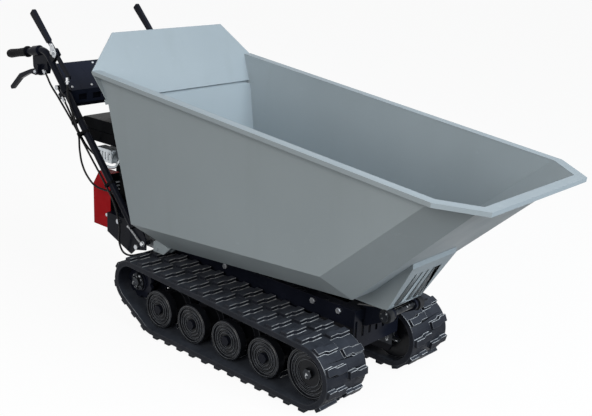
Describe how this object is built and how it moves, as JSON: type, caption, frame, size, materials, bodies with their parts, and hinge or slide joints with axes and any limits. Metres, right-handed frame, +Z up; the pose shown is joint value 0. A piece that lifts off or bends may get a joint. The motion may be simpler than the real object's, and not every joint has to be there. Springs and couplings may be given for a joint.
{
  "type": "tracked power carrier",
  "caption": "Walk-behind tracked mini dumper: rubber tracks, welded skip bucket that tips over a front hinge, small engine with belt drive, and handlebars with hand levers.",
  "frame": {"origin": "centre of the footprint of the whole carrier, on the ground", "axes": "+X forward towards the tipping lip, +Y to the left, +Z up"},
  "size_m": [2.128, 0.72, 1.0218],
  "materials": {
    "bucket_paint": "smooth grey powder coat",
    "frame_paint": "satin black powder coat",
    "wheel_plastic": "moulded black",
    "track_rubber": "matt black rubber",
    "soft_rubber": "matt black rubber",
    "zinc_steel": "zinc plated",
    "guard_paint": "gloss red",
    "engine_plastic": "moulded black",
    "cast_metal": "as cast",
    "bright_steel": "bright sheet"
  },
  "bodies": {
    "base": {"chassis_frame": "frame_paint", "front_guard": "frame_paint", "engine_deck": "frame_paint", "rest_pads": "soft_rubber", "hinge_pin": "zinc_steel", "track_frame_left": "frame_paint", "track_frame_right": "frame_paint", "track_left": "track_rubber", "track_right": "track_rubber", "roller_axles": "frame_paint", "idler_tensioners": "zinc_steel", "gearbox": "cast_metal", "drive_belt": "soft_rubber", "belt_guard": "guard_paint", "crankcase": "engine_plastic", "cylinder_block": "cast_metal", "recoil_starter": "engine_plastic", "fuel_tank": "engine_plastic", "air_filter": "engine_plastic", "carburettor": "cast_metal", "muffler": "bright_steel", "muffler_shield": "bright_steel", "handle_left": "frame_paint", "handle_right": "frame_paint", "grip_left": "soft_rubber", "grip_right": "soft_rubber", "console": "frame_paint", "lever_brackets": "frame_paint", "steering_cables": "soft_rubber", "tip_cable": "soft_rubber", "engine_cables": "soft_rubber", "frame_bolts": "zinc_steel"},
    "bucket": {"bucket_shell": "bucket_paint", "bucket_back_plate": "bucket_paint", "bucket_nose": "bucket_paint", "bucket_striker": "bucket_paint"},
    "drive_left": {"sprocket_left": "frame_paint", "drive_shaft_left": "zinc_steel"},
    "wheel_left_1": {"roller_left_1": "wheel_plastic"},
    "wheel_left_2": {"roller_left_2": "wheel_plastic"},
    "wheel_left_3": {"roller_left_3": "wheel_plastic"},
    "wheel_left_4": {"roller_left_4": "wheel_plastic"},
    "idler_left": {"idler_left": "wheel_plastic"},
    "steering_lever_left": {"steering_lever_left": "frame_paint"},
    "drive_right": {"sprocket_right": "frame_paint", "drive_shaft_right": "zinc_steel"},
    "wheel_right_1": {"roller_right_1": "wheel_plastic"},
    "wheel_right_2": {"roller_right_2": "wheel_plastic"},
    "wheel_right_3": {"roller_right_3": "wheel_plastic"},
    "wheel_right_4": {"roller_right_4": "wheel_plastic"},
    "idler_right": {"idler_right": "wheel_plastic"},
    "steering_lever_right": {"steering_lever_right": "frame_paint"},
    "gearbox_pulley": {"gearbox_pulley": "cast_metal"},
    "engine_pulley": {"engine_pulley": "cast_metal"},
    "tip_lever": {"tip_lever": "frame_paint"},
    "drive_lever": {"drive_lever": "frame_paint"},
    "throttle_lever": {"throttle_lever": "engine_plastic"},
    "gear_lever": {"gear_lever": "engine_plastic"},
    "latch_hook": {"latch_hook": "zinc_steel"},
    "fuel_cap": {"fuel_cap": "engine_plastic"}
  },
  "joints": [
    {"name": "bucket_tip", "type": "hinge", "parent": "base", "child": "bucket", "pos_m": [0.656, 0, 0.283], "axis": [0, 1, 0], "range_deg": [0, 70]},
    {"name": "sprocket_left_spin", "type": "hinge", "parent": "base", "child": "drive_left", "pos_m": [-0.268, 0.209, 0.162], "axis": [0, 1, 0], "continuous": true},
    {"name": "roller_left_1_spin", "type": "hinge", "parent": "base", "child": "wheel_left_1", "pos_m": [-0.152, 0.209, 0.096], "axis": [0, 1, 0], "continuous": true},
    {"name": "roller_left_2_spin", "type": "hinge", "parent": "base", "child": "wheel_left_2", "pos_m": [0.013, 0.209, 0.096], "axis": [0, 1, 0], "continuous": true},
    {"name": "roller_left_3_spin", "type": "hinge", "parent": "base", "child": "wheel_left_3", "pos_m": [0.178, 0.209, 0.096], "axis": [0, 1, 0], "continuous": true},
    {"name": "roller_left_4_spin", "type": "hinge", "parent": "base", "child": "wheel_left_4", "pos_m": [0.343, 0.209, 0.096], "axis": [0, 1, 0], "continuous": true},
    {"name": "idler_left_spin", "type": "hinge", "parent": "base", "child": "idler_left", "pos_m": [0.527, 0.209, 0.113], "axis": [0, 1, 0], "continuous": true},
    {"name": "steering_lever_left_squeeze", "type": "hinge", "parent": "base", "child": "steering_lever_left", "pos_m": [-0.87, 0.2345, 0.8], "axis": [0, 1, 0], "range_deg": [0, 22], "stiffness_Nm_per_rad": 3, "springref_deg": -14.32},
    {"name": "sprocket_right_spin", "type": "hinge", "parent": "base", "child": "drive_right", "pos_m": [-0.268, -0.209, 0.162], "axis": [0, 1, 0], "continuous": true},
    {"name": "roller_right_1_spin", "type": "hinge", "parent": "base", "child": "wheel_right_1", "pos_m": [-0.152, -0.209, 0.096], "axis": [0, 1, 0], "continuous": true},
    {"name": "roller_right_2_spin", "type": "hinge", "parent": "base", "child": "wheel_right_2", "pos_m": [0.013, -0.209, 0.096], "axis": [0, 1, 0], "continuous": true},
    {"name": "roller_right_3_spin", "type": "hinge", "parent": "base", "child": "wheel_right_3", "pos_m": [0.178, -0.209, 0.096], "axis": [0, 1, 0], "continuous": true},
    {"name": "roller_right_4_spin", "type": "hinge", "parent": "base", "child": "wheel_right_4", "pos_m": [0.343, -0.209, 0.096], "axis": [0, 1, 0], "continuous": true},
    {"name": "idler_right_spin", "type": "hinge", "parent": "base", "child": "idler_right", "pos_m": [0.527, -0.209, 0.113], "axis": [0, 1, 0], "continuous": true},
    {"name": "steering_lever_right_squeeze", "type": "hinge", "parent": "base", "child": "steering_lever_right", "pos_m": [-0.87, -0.2345, 0.8], "axis": [0, 1, 0], "range_deg": [0, 22], "stiffness_Nm_per_rad": 3, "springref_deg": -14.32},
    {"name": "gearbox_pulley_spin", "type": "hinge", "parent": "base", "child": "gearbox_pulley", "pos_m": [-0.539, -0.186, 0.318], "axis": [0, 1, 0], "continuous": true},
    {"name": "engine_pulley_spin", "type": "hinge", "parent": "base", "child": "engine_pulley", "pos_m": [-0.539, -0.186, 0.456], "axis": [0, 1, 0], "continuous": true},
    {"name": "tip_lever_pull", "type": "hinge", "parent": "base", "child": "tip_lever", "pos_m": [-0.76065, -0.2345, 0.8838], "axis": [0, -1, 0], "range_deg": [0, 20], "stiffness_Nm_per_rad": 4, "springref_deg": -17.19},
    {"name": "drive_lever_pull", "type": "hinge", "parent": "base", "child": "drive_lever", "pos_m": [-0.76065, 0.2345, 0.8838], "axis": [0, -1, 0], "range_deg": [0, 20], "stiffness_Nm_per_rad": 4, "springref_deg": -17.19},
    {"name": "throttle_turn", "type": "hinge", "parent": "base", "child": "throttle_lever", "pos_m": [-0.725, -0.2345, 0.73543], "axis": [0, 1, 0], "range_deg": [-40, 15]},
    {"name": "gear_shift", "type": "hinge", "parent": "base", "child": "gear_lever", "pos_m": [-0.76533, 0.06, 0.75695], "axis": [0, 1, 0], "range_deg": [-15, 15]},
    {"name": "latch_turn", "type": "hinge", "parent": "base", "child": "latch_hook", "pos_m": [-0.289, -0.186, 0.284], "axis": [0, -1, 0], "range_deg": [0, 45]},
    {"name": "fuel_cap_turn", "type": "hinge", "parent": "base", "child": "fuel_cap", "pos_m": [-0.539, 0, 0.667], "axis": [0, 0, 1], "range_deg": [0, 90]}
  ],
  "couplings": [
    {"joint": "roller_left_1_spin", "follows": "sprocket_left_spin", "ratio": 0.94667},
    {"joint": "roller_left_2_spin", "follows": "sprocket_left_spin", "ratio": 0.94667},
    {"joint": "roller_left_3_spin", "follows": "sprocket_left_spin", "ratio": 0.94667},
    {"joint": "roller_left_4_spin", "follows": "sprocket_left_spin", "ratio": 0.94667},
    {"joint": "idler_left_spin", "follows": "sprocket_left_spin", "ratio": 0.77174},
    {"joint": "roller_right_1_spin", "follows": "sprocket_right_spin", "ratio": 0.94667},
    {"joint": "roller_right_2_spin", "follows": "sprocket_right_spin", "ratio": 0.94667},
    {"joint": "roller_right_3_spin", "follows": "sprocket_right_spin", "ratio": 0.94667},
    {"joint": "roller_right_4_spin", "follows": "sprocket_right_spin", "ratio": 0.94667},
    {"joint": "idler_right_spin", "follows": "sprocket_right_spin", "ratio": 0.77174},
    {"joint": "engine_pulley_spin", "follows": "gearbox_pulley_spin", "ratio": 1.3365},
    {"joint": "latch_turn", "follows": "tip_lever_pull", "ratio": 2.25}
  ]
}
